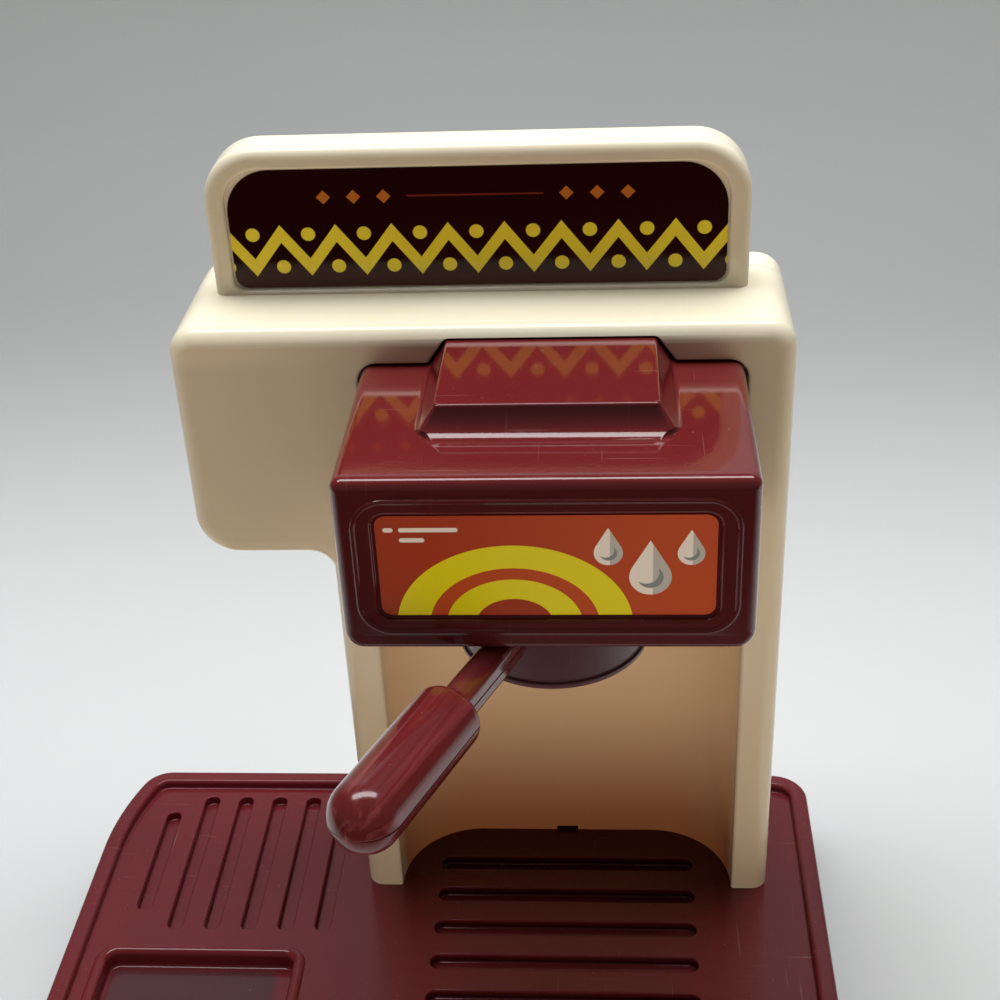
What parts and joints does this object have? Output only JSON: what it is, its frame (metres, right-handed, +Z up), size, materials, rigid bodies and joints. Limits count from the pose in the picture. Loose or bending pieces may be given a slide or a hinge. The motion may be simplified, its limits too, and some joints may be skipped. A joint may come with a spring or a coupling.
{
  "type": "toy coffee maker",
  "caption": "Toy coffee maker: cream tower with a sign on a burgundy base with drip slots and a cup rest; a portafilter with a round grip swings under its boxy head.",
  "frame": {"origin": "middle of the base's underside, on the table", "axes": "+Z up, +X to the right seen from the front, the front of the toy faces -Y"},
  "size_m": [0.234, 0.1731, 0.2567],
  "materials": {
    "cream_shell": "moulded, glossy",
    "base_burgundy": "moulded, satin gloss",
    "base_dark": "moulded, satin",
    "head_burgundy": "moulded, polished",
    "cup_burgundy": "moulded, satin",
    "handle_burgundy": "moulded, polished",
    "head_label_film": "printed film, satin",
    "sign_label_film": "printed film, glossy",
    "felt_washer": "felt",
    "screw_steel": "zinc plated"
  },
  "bodies": {
    "stand": {"base_tray": "base_burgundy", "base_bottom_plate": "base_dark", "base_plate_screws": "screw_steel", "tower_base_screws": "screw_steel", "tower_front_shell": "cream_shell", "tower_rear_shell": "cream_shell", "tower_shell_screws": "screw_steel", "sign_board": "cream_shell", "sign_label": "sign_label_film", "sign_screws": "screw_steel", "head_housing": "head_burgundy", "head_floor": "base_dark", "head_label": "head_label_film", "head_mount_screws": "screw_steel", "head_floor_screws": "screw_steel", "pivot_screw": "screw_steel", "pivot_washer": "screw_steel", "friction_washer": "felt_washer"},
    "portafilter": {"filter_cup": "cup_burgundy", "handle_upper_half": "handle_burgundy", "handle_lower_half": "handle_burgundy", "handle_shell_screws": "screw_steel", "handle_root_screw": "screw_steel"}
  },
  "joints": [
    {"name": "portafilter_swing", "type": "hinge", "parent": "stand", "child": "portafilter", "pos_m": [0.0368, -0.0035, 0.1534], "axis": [0, 0, 1], "range_deg": [-21, 39]}
  ]
}
